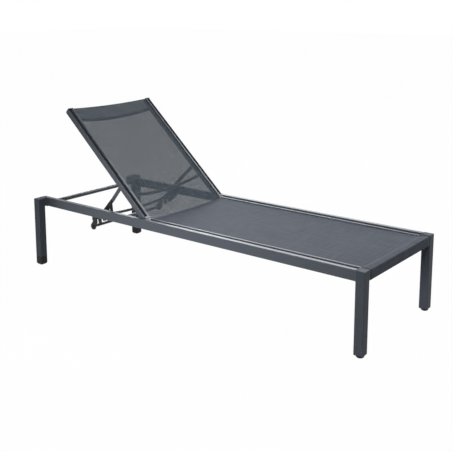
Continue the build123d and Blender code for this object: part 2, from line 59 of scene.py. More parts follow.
# ---- places taken from the frame ------------------------------------------------------

HINGE = Vector(frame["joints"][0]["pos_m"])
TRACK_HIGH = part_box("seat_track_left")[1]
BAR_LOW, BAR_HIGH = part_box("front_crossbar")

# the backrest's own directions at rest: up its tracks, and out of the side that is lain on
LEAN = math.radians(42.25)
UP = Vector((-math.cos(LEAN), 0.0, math.sin(LEAN)))
OUT = Vector((math.sin(LEAN), 0.0, math.cos(LEAN)))

# ---- the slings' places, in metres ----------------------------------------------------

LIP_OVER_HINGE = 0.016  # the tracks' lips stand this far out from the hinge's axis
SLOT_DROP = 0.0055  # the middle of a track's slot, below its lip
LIP_INNER = 0.262  # half the clear width between the lips
LIP_MARGIN = 0.0004  # a row of the cloth has a point this far inside each lip
CLOTH_REACH = 0.0028  # how far the cloth goes into the slot, up to its bead rod
CLOTH_HELD = LIP_INNER + CLOTH_REACH  # half the width of the cloth where the slots hold it
FOLD_SHARE = 1.15  # from one layer of a fold to the next, in thicknesses of the cloth

SEAT_REAR = -0.2125  # the seat's rear edge, just clear of the turning backrest
SEAT_STEPS = 72
RISE_START = 0.004  # the seat's cloth leaves its slots this far from the tracks' foot end
RISE_STEPS = 8
TIGHT_START = 0.30  # the sag starts to fade this far from the tracks' foot end
TIGHT_LENGTH = 0.28  # and is gone over this length
WAVER_SHARE = 0.10  # the sag comes and goes by this share along the seat
WAVER_TURN = 3.1  # radians of that wave in a metre
WRAP_GAP = 0.0004  # clear space between the front crossbar and the cloth round it
WRAP_CORNER = 0.0025  # rounding of the front crossbar's edges
RISE_HALF_WIDTH = 0.271  # half the width that the cloth reaches on its way up the crossbar
WRAP_HALF_WIDTH = RISE_HALF_WIDTH - 0.002  # and round the crossbar
# where the wrapped end turns back, as (behind the wrap's rear face, below its top)
TURN_BACK = ((0.0, 0.016), (0.0012, 0.011), (0.005, 0.0075))
# where it then lies under the seat, as (behind that face, below the lower layer of a fold there)
UNDERLAP = ((0.012, 0.0006), (0.026, 0.0))
UNDERLAP_HALF_WIDTH = CLOTH_HELD - 0.004

BACKREST_FOOT = -0.006  # lower edge of the backrest's cloth, measured up from the hinge's axis
BACKREST_TOP = 0.7265  # its top edge at the sides
BACKREST_STEPS = 60
TOP_HEM = 0.648  # lower edge of the deep top hem, in front of the top bow
HEM_STEPS = 8
FOOT_NARROWING = 0.008  # the lower edge is this much narrower a side, clear of the hinge shoes
NARROW_START = 0.004  # the cloth widens from this far up
NARROW_LENGTH = 0.016  # and has its whole width after this length
SAG_AT_ENDS = 0.75  # share of the backrest's sag at its lower and top edges
SAG_MORE = 0.35  # and how much more of it there is halfway up
DIP_START = 0.55  # share of the way up from which the cloth dips with its top edge
DIP_LENGTH = 0.45
ARC_STEPS = 5

HOLE_POWER = 0.64  # the lower it is, the more of the weave is open
FOLD_HOLE_POWER = 0.3

# ---- stitches and welds, in metres ----------------------------------------------------

THREAD_RADIUS = 0.00045
THREAD_LIFT = 0.0001  # the stitches' middles lie this far off the cloth
SEAM_HALF_WIDTH = LIP_INNER - 0.004
SEAT_SEAMS = (SEAT_REAR + 0.010, SEAT_REAR + 0.017)
BACKREST_SEAMS = (BACKREST_FOOT + 0.0035, TOP_HEM + 0.002, TOP_HEM + 0.008)
TUBE_END_DEPTH = 0.0006  # corners this near to a tube's end belong to its end face
RIPPLE_SIZES = {"Min": 0.85, "Max": 1.1}  # of the bead's radius, from the least to the most
RIPPLE_SEED = 7

# the welded tubes of each body, as (node, axis along the tube, ends that are welded)
BOTH_ENDS = (1, -1)
WELDED_TUBES = {
    "bed_frame": (
        ("front_crossbar", 1, BOTH_ENDS),
        ("rear_crossbar", 1, BOTH_ENDS),
        ("seat_spreader_rear", 1, BOTH_ENDS),
        ("seat_spreader_front", 1, BOTH_ENDS),
        ("side_rail_left", 0, (1,)),
        ("side_rail_right", 0, (1,)),
        ("rear_corner_left", 1, BOTH_ENDS),
        ("rear_corner_right", 1, BOTH_ENDS),
    ),
    "backrest": (("backrest_top_bow", 1, BOTH_ENDS), ("backrest_lower_bow", 1, BOTH_ENDS)),
    "prop": (("prop_bow", 1, BOTH_ENDS),),
}

# ---- finishes that no setting holds ---------------------------------------------------

LEGS = ("front_leg_right", "front_leg_left", "rear_leg_right", "rear_leg_left")
LEG_ROUGHNESS = 0.42
LEG_GLOSS = 0.05
BLACK_GRAIN_SHARE = 0.8  # grain of the black coat, as a share of the frame coat's
BEAD_ROUGHNESS = 0.35
CAP_ROUGHNESS = 0.45
# how slack and tight yarns stretch the tone of the mesh: lines along it, and lines across it
YARN_LINES = ((120.0, 7.0, 1.0), (8.0, 105.0, 1.0))
YARN_SHEEN = (0.55, 0.72, 1.0, 1.0)

# ---- the lamps ------------------------------------------------------------------------

MIDDLE = (0.0, 0.0, 0.35)
FULL_BEAM = math.radians(180.0)
# name, setting with its power, place, width, angle of its beam, and the place it is aimed at
LAMPS = (
    ("key lamp", "key_power", (-0.7, -2.8, 0.8), 1.0, math.radians(54.0), (0.15, 0.0, 0.0)),
    ("front lamp", "front_power", (1.4, -2.0, 2.6), 1.2, FULL_BEAM, MIDDLE),
    ("rim lamp", "rim_power", (-3.6, 6.2, 2.7), 3.6, FULL_BEAM, MIDDLE),
    ("high lamp", "high_power", (0.9, 3.0, 3.4), 1.5, FULL_BEAM, MIDDLE),
    ("head lamp", "head_power", (-3.0, 2.7, 2.6), 1.0, FULL_BEAM, MIDDLE),
    ("foot lamp", "foot_power", (3.2, 0.9, 1.3), 1.6, FULL_BEAM, MIDDLE),
)
LAMP_COLOUR = (0.92, 0.96, 1.0)

# ---- settings a user would change -----------------------------------------------------


class LoungerCoat(bpy.types.PropertyGroup):
    """Finish of the metal parts"""

    colour: FloatVectorProperty(
        name="Coat colour",
        description="Colour of the powder coat on the frame",
        subtype="COLOR",
        size=3,
        min=0.0,
        max=1.0,
        default=(0.050, 0.055, 0.065),
    )
    roughness: FloatProperty(
        name="Coat roughness",
        description="How matt the powder coat is",
        subtype="FACTOR",
        min=0.0,
        max=1.0,
        default=0.3,
    )
    grain: FloatProperty(
        name="Coat grain",
        description="Size of the powder coat's fine orange peel",
        subtype="DISTANCE",
        unit="LENGTH",
        default=0.0012,
    )
    black: FloatVectorProperty(
        name="Black coat",
        description="Colour of the coat on the notched plates and the catches",
        subtype="COLOR",
        size=3,
        min=0.0,
        max=1.0,
        default=(0.016, 0.0165, 0.018),
    )


class LoungerPlastic(bpy.types.PropertyGroup):
    """Finish of the moulded feet, plugs and caps"""

    colour: FloatVectorProperty(
        name="Plastic colour",
        description="Colour of the moulded feet and plugs",
        subtype="COLOR",
        size=3,
        min=0.0,
        max=1.0,
        default=(0.0125, 0.013, 0.0145),
    )
    caps: FloatVectorProperty(
        name="Cap colour",
        description="Colour of the caps on the backrest's tracks",
        subtype="COLOR",
        size=3,
        min=0.0,
        max=1.0,
        default=(0.026, 0.029, 0.038),
    )
    roughness: FloatProperty(
        name="Plastic roughness",
        description="How matt the moulded plastic is",
        subtype="FACTOR",
        min=0.0,
        max=1.0,
        default=0.5,
    )


class LoungerSling(bpy.types.PropertyGroup):
    """Cut and weave of the two slings"""

    backrest_colour: FloatVectorProperty(
        name="Backrest yarn colour",
        description="Colour of the backrest's coated yarn",
        subtype="COLOR",
        size=3,
        min=0.0,
        max=1.0,
        default=(0.053, 0.066, 0.079),
    )
    # painted shade: the seat is the same cloth as the backrest, its yarn colour drawn darker and bluer for how the
    # seat, seen nearly edge-on, is lit
    seat_shaded_colour: FloatVectorProperty(
        name="Seat yarn colour",
        description="Colour of the seat's coated yarn, the darker of the two",
        subtype="COLOR",
        size=3,
        min=0.0,
        max=1.0,
        default=(0.038, 0.043, 0.055),
    )
    thickness: FloatProperty(
        name="Thickness",
        description="Thickness of the woven mesh",
        subtype="DISTANCE",
        unit="LENGTH",
        default=0.0011,
    )
    yarn_pitch: FloatProperty(
        name="Yarn pitch",
        description="Distance from one yarn to the next",
        subtype="DISTANCE",
        unit="LENGTH",
        default=0.0017,
    )
    backrest_openness: FloatProperty(
        name="Backrest openness",
        description="How clear the holes between the backrest's yarns are",
        subtype="FACTOR",
        min=0.0,
        max=1.0,
        default=0.98,
    )
    seat_openness: FloatProperty(
        name="Seat openness",
        description="How clear the holes between the seat's yarns are",
        subtype="FACTOR",
        min=0.0,
        max=1.0,
        default=0.12,
    )
    seat_sag: FloatProperty(
        name="Seat sag",
        description="How far the middle of the seat hangs below its edges",
        subtype="DISTANCE",
        unit="LENGTH",
        default=0.006,
    )
    backrest_sag: FloatProperty(
        name="Backrest sag",
        description="How far the middle of the backrest hangs behind its edges",
        subtype="DISTANCE",
        unit="LENGTH",
        default=0.008,
    )
    top_dip: FloatProperty(
        name="Top edge dip",
        description="How far the backrest's top edge dips in the middle",
        subtype="DISTANCE",
        unit="LENGTH",
        default=0.004,
    )
    seat_hem: FloatProperty(
        name="Seat hem",
        description="Depth of the folded hem at the seat's rear edge",
        subtype="DISTANCE",
        unit="LENGTH",
        default=0.022,
    )
    backrest_hem: FloatProperty(
        name="Backrest hem",
        description="Depth of the folded hem at the backrest's lower edge",
        subtype="DISTANCE",
        unit="LENGTH",
        default=0.007,
    )
    thread: FloatVectorProperty(
        name="Thread colour",
        description="Colour of the sewing thread",
        subtype="COLOR",
        size=3,
        min=0.0,
        max=1.0,
        default=(0.05, 0.053, 0.058),
    )
    stitch_length: FloatProperty(
        name="Stitch length",
        description="Length of one stitch",
        subtype="DISTANCE",
        unit="LENGTH",
        default=0.0038,
    )
    stitch_pitch: FloatProperty(
        name="Stitch pitch",
        description="Distance from one stitch to the next",
        subtype="DISTANCE",
        unit="LENGTH",
        default=0.0052,
    )


class LoungerWeld(bpy.types.PropertyGroup):
    """Weld beads where tubes meet"""

    ripple_pitch: FloatProperty(
        name="Ripple pitch",
        description="Distance from one weld ripple to the next",
        subtype="DISTANCE",
        unit="LENGTH",
        default=0.0026,
    )
    bead_radius: FloatProperty(
        name="Bead radius",
        description="Half the width of a weld bead",
        subtype="DISTANCE",
        unit="LENGTH",
        default=0.0021,
    )


class LoungerStage(bpy.types.PropertyGroup):
    """Camera, lamps and floor"""

    place: FloatVectorProperty(
        name="Camera place",
        description="Where the camera stands",
        subtype="TRANSLATION",
        unit="LENGTH",
        size=3,
        default=(2.2576, -2.8356, 1.3551),
    )
    azimuth: FloatProperty(
        name="Camera azimuth",
        description="Angle of the camera round the lounger, from its right side",
        subtype="ANGLE",
        unit="ROTATION",
        default=math.radians(38.14),
    )
    elevation: FloatProperty(
        name="Camera elevation",
        description="Angle that the camera looks down by",
        subtype="ANGLE",
        unit="ROTATION",
        default=math.radians(10.0),
    )
    lens: FloatProperty(
        name="Lens",
        description="Focal length in millimetres on a 36 mm sensor",
        default=61.485,
    )
    shift: FloatProperty(
        name="Lens shift",
        description="Vertical shift of the lens, as a share of the frame",
        default=-0.19,
    )
    key_power: FloatProperty(
        name="Key lamp",
        description="Power of the soft lamp low on the near side, that its spread keeps on the rails",
        unit="POWER",
        default=10.0,
    )
    front_power: FloatProperty(
        name="Front lamp",
        description="Power of the soft lamp high on the near side, that shines into the tracks' grooves",
        unit="POWER",
        default=50.0,
    )
    rim_power: FloatProperty(
        name="Rim lamp",
        description="Power of the low soft lamp behind the lounger, that brightens its top edges",
        unit="POWER",
        default=108.0,
    )
    high_power: FloatProperty(
        name="High lamp",
        description="Power of the lamp high on the far side, that brightens the backrest's tracks",
        unit="POWER",
        default=135.0,
    )
    head_power: FloatProperty(
        name="Head lamp",
        description="Power of the lamp beyond the head end, that brightens the rear crossbar",
        unit="POWER",
        default=70.0,
    )
    foot_power: FloatProperty(
        name="Foot lamp",
        description="Power of the weak lamp beyond the foot end, that fills the shadows",
        unit="POWER",
        default=12.0,
    )
    surround: FloatProperty(
        name="Surround",
        description="Brightness of the pale studio all round",
        default=0.175,
    )
    backdrop: FloatProperty(
        name="Backdrop white",
        description="Share of plain white in the floor as the camera sees it",
        subtype="FACTOR",
        min=0.0,
        max=1.0,
        default=0.985,
    )


GROUPS = {
    "lounger_coat": LoungerCoat,
    "lounger_plastic": LoungerPlastic,
    "lounger_sling": LoungerSling,
    "lounger_weld": LoungerWeld,
    "lounger_stage": LoungerStage,
}

# ---- material helpers -----------------------------------------------------------------


def new_material(name):
    """A material with its shader, and its node tree."""
    material = bpy.data.materials.new(name)
    material.use_nodes = True
    tree = material.node_tree
    tree.nodes.clear()
    shader = tree.nodes.new("ShaderNodeBsdfPrincipled")
    output = tree.nodes.new("ShaderNodeOutputMaterial")
    tree.links.new(shader.outputs["BSDF"], output.inputs["Surface"])
    return material, tree, shader


def object_place(tree):
    """The piece's own coordinates, in metres."""
    return tree.nodes.new("ShaderNodeTexCoord").outputs["Object"]


def noise(tree, place, scale, detail=3.0, roughness=0.55):
    """A noise over the given coordinates, 0 to 1."""
    node = tree.nodes.new("ShaderNodeTexNoise")
    node.inputs["Scale"].default_value = scale
    node.inputs["Detail"].default_value = detail
    node.inputs["Roughness"].default_value = roughness
    tree.links.new(place, node.inputs["Vector"])
    return node.outputs["Fac"]


def stretched(tree, place, factors):
    """Coordinates scaled by a factor along each axis."""
    node = tree.nodes.new("ShaderNodeMapping")
    node.inputs["Scale"].default_value = factors
    tree.links.new(place, node.inputs["Vector"])
    return node.outputs["Vector"]


def bands(tree, place, scale, distortion=0.0):
    """Slanting bands over the given coordinates, 0 to 1."""
    node = tree.nodes.new("ShaderNodeTexWave")
    node.wave_type = "BANDS"
    node.bands_direction = "DIAGONAL"
    node.inputs["Scale"].default_value = scale
    node.inputs["Distortion"].default_value = distortion
    tree.links.new(place, node.inputs["Vector"])
    return node.outputs["Fac"]


def spread(tree, value, low, high):
    """Map 0..1 to low..high."""
    node = tree.nodes.new("ShaderNodeMapRange")
    node.inputs["To Min"].default_value = low
    node.inputs["To Max"].default_value = high
    tree.links.new(value, node.inputs["Value"])
    return node.outputs["Result"]


def blend_colour(tree, factor, first, second):
    """Go from one colour to another as the factor goes from 0 to 1."""
    node = tree.nodes.new("ShaderNodeMix")
    node.data_type = "RGBA"
    tree.links.new(factor, node.inputs[0])
    node.inputs[6].default_value = (*first, 1.0)
    node.inputs[7].default_value = (*second, 1.0)
    return node.outputs[2]


def multiply_colour(tree, first, second):
    """Tint one colour by another."""
    node = tree.nodes.new("ShaderNodeMix")
    node.data_type = "RGBA"
    node.blend_type = "MULTIPLY"
    node.inputs[0].default_value = 1.0
    tree.links.new(first, node.inputs[6])
    tree.links.new(second, node.inputs[7])
    return node.outputs[2]


def grey(value):
    """A grey colour."""
    return (value, value, value)


def shade(colour, factor):
    """A colour made lighter or darker."""
    return tuple(min(1.0, channel * factor) for channel in colour)


def reckon(tree, operation, first, second=None):
    """A math node on one or two values, each a socket or a number."""
    node = tree.nodes.new("ShaderNodeMath")
    node.operation = operation
    for index, value in enumerate((first, second)):
        if isinstance(value, (int, float)):
            node.inputs[index].default_value = value
        elif value is not None:
            tree.links.new(value, node.inputs[index])
    return node.outputs["Value"]


def bump(tree, shader, height, strength, distance):
    """Let a height roughen the surface."""
    node = tree.nodes.new("ShaderNodeBump")
    node.inputs["Strength"].default_value = strength
    node.inputs["Distance"].default_value = distance
    tree.links.new(height, node.inputs["Height"])
    tree.links.new(node.outputs["Normal"], shader.inputs["Normal"])


# ---- finishes -------------------------------------------------------------------------


def powder_coat(name, colour, roughness, grain, gloss_level=0.2):
    """Baked powder coat: fine orange peel, faint fleck, slow drift in tone."""
    material, tree, shader = new_material(name)
    place = object_place(tree)
    drift = noise(tree, place, scale=6.0, detail=2.0)
    fleck = noise(tree, place, scale=0.8 / grain, detail=4.0, roughness=0.7)
    peel = noise(tree, place, scale=1.0 / grain, detail=2.0, roughness=0.4)
    tone = blend_colour(tree, drift, shade(colour, 0.92), shade(colour, 1.08))
    tint = blend_colour(tree, fleck, grey(0.82), grey(1.18))
    tree.links.new(multiply_colour(tree, tone, tint), shader.inputs["Base Color"])
    gloss = spread(tree, fleck, roughness - 0.06, roughness + 0.08)
    tree.links.new(gloss, shader.inputs["Roughness"])
    bump(tree, shader, peel, strength=0.2, distance=grain * 0.25)
    shader.inputs["Specular IOR Level"].default_value = gloss_level
    return material


def moulded_plastic(name, colour, roughness):
    """Moulded plastic: fine eroded grain, scuffs and a slight sheen."""
    material, tree, shader = new_material(name)
    place = object_place(tree)
    grain = noise(tree, place, scale=900.0, detail=2.0, roughness=0.6)
    scuff = noise(tree, place, scale=45.0, detail=5.0, roughness=0.65)
    tone = blend_colour(tree, scuff, shade(colour, 0.7), shade(colour, 1.5))
    tree.links.new(tone, shader.inputs["Base Color"])
    gloss = spread(tree, scuff, roughness - 0.1, roughness + 0.12)
    tree.links.new(gloss, shader.inputs["Roughness"])
    bump(tree, shader, grain, strength=0.25, distance=0.0003)
    shader.inputs["Specular IOR Level"].default_value = 0.15
    return material


def plated_steel(name):
    """Dull zinc plating with turning marks and a cloudy bloom."""
    material, tree, shader = new_material(name)
    place = object_place(tree)
    bloom = noise(tree, place, scale=140.0, detail=4.0, roughness=0.6)
    marks = bands(tree, place, scale=650.0, distortion=3.0)
    tone = blend_colour(tree, bloom, (0.11, 0.11, 0.115), (0.24, 0.24, 0.245))
    tree.links.new(tone, shader.inputs["Base Color"])
    tree.links.new(spread(tree, bloom, 0.32, 0.5), shader.inputs["Roughness"])
    bump(tree, shader, marks, strength=0.12, distance=0.0001)
    shader.inputs["Metallic"].default_value = 0.9
    return material


def woven_mesh(name, sling, colour, openness):
    """Open weave of coated yarn, on the cloth's own measure in metres."""
    material, tree, shader = new_material(name)
    measure = tree.nodes.new("ShaderNodeUVMap")
    measure.uv_map = "cut"
    parts = tree.nodes.new("ShaderNodeSeparateXYZ")
    tree.links.new(measure.outputs["UV"], parts.inputs["Vector"])
    turn = 2.0 * math.pi / sling.yarn_pitch
    warp = reckon(tree, "COSINE", reckon(tree, "MULTIPLY", parts.outputs["X"], turn))
    weft = reckon(tree, "COSINE", reckon(tree, "MULTIPLY", parts.outputs["Y"], turn))
    # a gap is 1 in the hole between four crossings and 0 along the yarns
    warp_gap = reckon(tree, "MULTIPLY", reckon(tree, "SUBTRACT", 1.0, warp), 0.5)
    weft_gap = reckon(tree, "MULTIPLY", reckon(tree, "SUBTRACT", 1.0, weft), 0.5)
    gap = reckon(tree, "MULTIPLY", warp_gap, weft_gap)
    fold = tree.nodes.new("ShaderNodeAttribute")
    fold.attribute_name = "hole_power"
    clear = reckon(tree, "POWER", gap, fold.outputs["Fac"])
    drift = noise(tree, object_place(tree), scale=7.0)
    slub = noise(tree, measure.outputs["UV"], scale=450.0, detail=2.0)
    tone = blend_colour(tree, drift, shade(colour, 0.93), shade(colour, 1.07))
    tint = blend_colour(tree, slub, grey(0.75), grey(1.25))
    tone = multiply_colour(tree, tone, tint)
    # slack and tight yarns draw faint lines along and across the cloth
    for stretch in YARN_LINES:
        place = stretched(tree, measure.outputs["UV"], stretch)
        lines = noise(tree, place, scale=1.0, detail=2.0, roughness=0.6)
        tone = multiply_colour(tree, tone, blend_colour(tree, lines, grey(1.4), grey(0.6)))
        clear = reckon(tree, "MULTIPLY", clear, spread(tree, lines, 0.65, 1.35))
    hole = reckon(tree, "MULTIPLY", clear, openness)
    tree.links.new(reckon(tree, "SUBTRACT", 1.0, hole), shader.inputs["Alpha"])
    tree.links.new(tone, shader.inputs["Base Color"])
    tree.links.new(spread(tree, slub, 0.6, 0.8), shader.inputs["Roughness"])
    relief = reckon(tree, "MULTIPLY", gap, -1.0)
    bump(tree, shader, relief, strength=0.4, distance=sling.yarn_pitch * 0.12)
    shader.inputs["Specular IOR Level"].default_value = 0.12
    shader.inputs["Sheen Weight"].default_value = 0.06
    shader.inputs["Sheen Roughness"].default_value = 0.3
    shader.inputs["Sheen Tint"].default_value = YARN_SHEEN
    return material


def sewing_thread(name, colour):
    """Twisted polyester thread, with painted shade in the grooves of its twist."""
    material, tree, shader = new_material(name)
    twist_and_groove_shade = bands(tree, object_place(tree), scale=900.0)
    # painted shade: the tone is darkest where the twist's bump lies lowest, in its grooves
    tone = blend_colour(tree, twist_and_groove_shade, shade(colour, 0.6), shade(colour, 1.15))
    tree.links.new(tone, shader.inputs["Base Color"])
    bump(tree, shader, twist_and_groove_shade, strength=0.4, distance=0.0001)
    shader.inputs["Roughness"].default_value = 0.7
    return material


def finish_node(name, material):
    """Give one node of the frame its finish."""
    for holder in frame["nodes"][name].material_slots:
        holder.material = material


def finish_nodes(slot_name, material):
    """Give each node of one material slot its finish."""
    names = [part["node"] for part in frame["record"]["subparts"] if part["material_slot"] == slot_name]
    if not names:
        raise RuntimeError(f"no node has the material slot {slot_name}")
    for name in names:
        finish_node(name, material)


# ---- mesh helpers ---------------------------------------------------------------------


def add_piece(name, mesh, material):
    """An object at the origin with one material."""
    piece = bpy.data.objects.new(name, mesh)
    bpy.context.scene.collection.objects.link(piece)
    if material:
        mesh.materials.append(material)
    return piece


def bake_modifiers(piece):
    """Turn a piece and its modifiers into a plain mesh."""
    depsgraph = bpy.context.evaluated_depsgraph_get()
    baked = bpy.data.meshes.new_from_object(piece.evaluated_get(depsgraph), depsgraph=depsgraph)
    piece.modifiers.clear()
    piece.data = baked
    for face in baked.polygons:
        face.use_smooth = True


def steps_along(points):
    """How far each point is along a line of them, from the first."""
    reach = [0.0]
    for last, point in zip(points, points[1:]):
        reach.append(reach[-1] + (point - last).length)
    return reach


def weave_cloth(name, rows, folded, thickness, material):
    """A closed thin cloth from rows of points that follow each other along it.

    Its UV map "cut" is the flat cloth's own measure in metres. The rows of a fold, told by their
    number, let more light through, because their holes lie over those of the layer above. Gives
    the piece, and its cut's width and length.
    """
    mesh = bpy.data.meshes.new(name)
    grid = bmesh.new()
    layer = grid.loops.layers.uv.new("cut")
    power = grid.faces.layers.float.new("hole_power")
    knots = [[grid.verts.new(point) for point in row] for row in rows]
    middle = len(rows[0]) // 2
    lengths = steps_along([row[middle] for row in rows])
    widths = steps_along(max(rows, key=lambda row: row[-1].y))
    for i in range(len(rows) - 1):
        for j in range(len(rows[0]) - 1):
            corners = ((i, j), (i, j + 1), (i + 1, j + 1), (i + 1, j))
            face = grid.faces.new([knots[row][column] for row, column in corners])
            face[power] = FOLD_HOLE_POWER if i in folded else HOLE_POWER
            for loop, (row, column) in zip(face.loops, corners):
                loop[layer].uv = (widths[column], lengths[row])
    grid.to_mesh(mesh)
    grid.free()
    piece = add_piece(name, mesh, material)
    body = piece.modifiers.new("cloth thickness", "SOLIDIFY")
    body.thickness = thickness
    body.offset = 0.0
    body.use_even_offset = True
    bake_modifiers(piece)
    return piece, widths[-1], lengths[-1]


def arc(centre, start, end, radius, steps):
    """Points of an arc, angles in degrees."""
    turns = [math.radians(start + (end - start) * i / steps) for i in range(steps + 1)]
    return [(centre[0] + radius * math.cos(t), centre[1] + radius * math.sin(t)) for t in turns]


def ease(value):
    """Smooth step from 0 to 1."""
    value = max(0.0, min(1.0, value))
    return value * value * (3.0 - 2.0 * value)


# ---- the slings -----------------------------------------------------------------------


def hang(y):
    """Share of the sag at a place across a sling: none in the slots, all in the middle."""
    share = min(1.0, abs(y) / LIP_INNER)
    return 1.0 - share * share


def across(width, steps=60):
    """Places across a sling, with one right at each lip so that the cloth runs level in the slot."""
    inner = min(width, LIP_INNER) - LIP_MARGIN
    return [-width] + [inner * (2.0 * i / steps - 1.0) for i in range(steps + 1)] + [width]


def fold_of(sling):
    """Distance from one layer of a fold to the next, middle to middle."""
    return FOLD_SHARE * sling.thickness


def seat_line(sling):
    """The seat's line along its middle, hem to hem, as (x, z, half width)."""
    gap = WRAP_GAP + sling.thickness / 2
    level = TRACK_HIGH.z - SLOT_DROP
    fold = fold_of(sling)
    line = [(SEAT_REAR + reach, level - fold, CLOTH_HELD) for reach in (sling.seat_hem, fold)]
    turn = arc((SEAT_REAR + fold / 2, level - fold / 2), 270, 90, fold / 2, ARC_STEPS)
    line += [(x, z, CLOTH_HELD) for x, z in turn]
    start, foot = SEAT_REAR + fold, TRACK_HIGH.x - RISE_START
    for i in range(1, SEAT_STEPS + 1):
        line.append((start + (foot - start) * i / SEAT_STEPS, level, CLOTH_HELD))
    radius = WRAP_CORNER + gap
    left, right = BAR_LOW.x - gap, BAR_HIGH.x + gap
    low, high = BAR_LOW.z - gap, BAR_HIGH.z + gap
    rise = left + radius
    for i in range(1, RISE_STEPS):
        share = i / RISE_STEPS
        width = CLOTH_HELD + (RISE_HALF_WIDTH - CLOTH_HELD) * ease(share)
        line.append((foot + (rise - foot) * share, level + (high - level) * ease(share), width))
    wrap = arc((right - radius, high - radius), 90, 0, radius, ARC_STEPS)
    wrap += arc((right - radius, low + radius), 0, -90, radius, ARC_STEPS)
    wrap += arc((left + radius, low + radius), -90, -180, radius, ARC_STEPS)
    wrap += [(left - back, high - down) for back, down in TURN_BACK]
    line += [(x, z, WRAP_HALF_WIDTH) for x, z in wrap]
    line += [(left - back, level - fold - down, UNDERLAP_HALF_WIDTH) for back, down in UNDERLAP]
    return line


def seat_row(sling, x, z, places):
    """Points across the seat, where the cloth in the slots is at x and z."""
    tight = 1.0 - ease((x - (TRACK_HIGH.x - TIGHT_START)) / TIGHT_LENGTH)
    drop = sling.seat_sag * tight * (1.0 + WAVER_SHARE * math.sin(x * WAVER_TURN))
    return [Vector((x, y, z - drop * hang(y))) for y in places]


def seat_rows(sling):
    """Rows of the seat's cloth, sagging between the tracks and level at the front crossbar."""
    return [seat_row(sling, x, z, across(width)) for x, z, width in seat_line(sling)]


def backrest_point(up, side, out):
    """A place on the backrest: up from the hinge's axis, across, and out from that axis."""
    return Vector((HINGE.x, side, HINGE.z)) + UP * up + OUT * out


def backrest_row(sling, up, out, places):
    """Points across the backrest, where the cloth in the slots is that far up and out."""
    share = (up - BACKREST_FOOT) / (BACKREST_TOP - BACKREST_FOOT)
    sag = sling.backrest_sag * (SAG_AT_ENDS + SAG_MORE * math.sin(math.pi * share))
    dip = sling.top_dip * ease((share - DIP_START) / DIP_LENGTH)
    return [backrest_point(up - dip * hang(y), y, out - sag * hang(y)) for y in places]


def backrest_rows(sling):
    """Rows of the backrest's cloth, from its lower hem over the lying side to its top hem."""
    fold = fold_of(sling)
    foot, top = BACKREST_FOOT, BACKREST_TOP
    line = [(foot + sling.backrest_hem, -fold), (foot + fold, -fold)]
    line += arc((foot + fold / 2, -fold / 2), 270, 90, fold / 2, ARC_STEPS)
    for i in range(1, BACKREST_STEPS + 1):
        line.append((foot + fold + (top - foot - 2 * fold) * i / BACKREST_STEPS, 0.0))
    line += arc((top - fold / 2, -fold / 2), 90, -90, fold / 2, ARC_STEPS)
    hem = top - fold - TOP_HEM
    line += [(top - fold - hem * i / HEM_STEPS, -fold) for i in range(1, HEM_STEPS + 1)]
    level = LIP_OVER_HINGE - SLOT_DROP
    rows = []
    for up, under in line:
        widened = ease((up - NARROW_START) / NARROW_LENGTH)
        width = CLOTH_HELD - FOOT_NARROWING * (1.0 - widened)
        rows.append(backrest_row(sling, up, level + under, across(width)))
    return rows


# ---- what repeats along a path --------------------------------------------------------


def path_tree(name, sizes):
    """An empty node group, with an input for its paths, for each named length and for a finish."""
    tree = bpy.data.node_groups.new(name, "GeometryNodeTree")
    face = tree.interface
    face.new_socket("Geometry", in_out="INPUT", socket_type="NodeSocketGeometry")
    for size in sizes:
        face.new_socket(size, in_out="INPUT", socket_type="NodeSocketFloat").subtype = "DISTANCE"
    face.new_socket("Finish", in_out="INPUT", socket_type="NodeSocketMaterial")
    face.new_socket("Geometry", in_out="OUTPUT", socket_type="NodeSocketGeometry")
    return tree, tree.nodes.new("NodeGroupInput"), tree.nodes.new("NodeGroupOutput")


def finish_tree(tree, start, end, instances):
    """Make the instances real, shade them smooth, give them their finish and put them out."""
    real = tree.nodes.new("GeometryNodeRealizeInstances")
    soft = tree.nodes.new("GeometryNodeSetShadeSmooth")
    paint = tree.nodes.new("GeometryNodeSetMaterial")
    tree.links.new(instances, real.inputs["Geometry"])
    tree.links.new(real.outputs["Geometry"], soft.inputs["Geometry"])
    tree.links.new(soft.outputs["Geometry"], paint.inputs["Geometry"])
    tree.links.new(start.outputs["Finish"], paint.inputs["Material"])
    tree.links.new(paint.outputs["Geometry"], end.inputs["Geometry"])


def spaced_points(tree, start, pitch):
    """Curves from the given paths, with a point at each pitch."""
    curve = tree.nodes.new("GeometryNodeMeshToCurve")
    spaced = tree.nodes.new("GeometryNodeResampleCurve")
    spaced.mode = "LENGTH"
    tree.links.new(start.outputs["Geometry"], curve.inputs["Mesh"])
    tree.links.new(curve.outputs["Curve"], spaced.inputs["Curve"])
    tree.links.new(start.outputs[pitch], spaced.inputs["Length"])
    return spaced.outputs["Curve"]


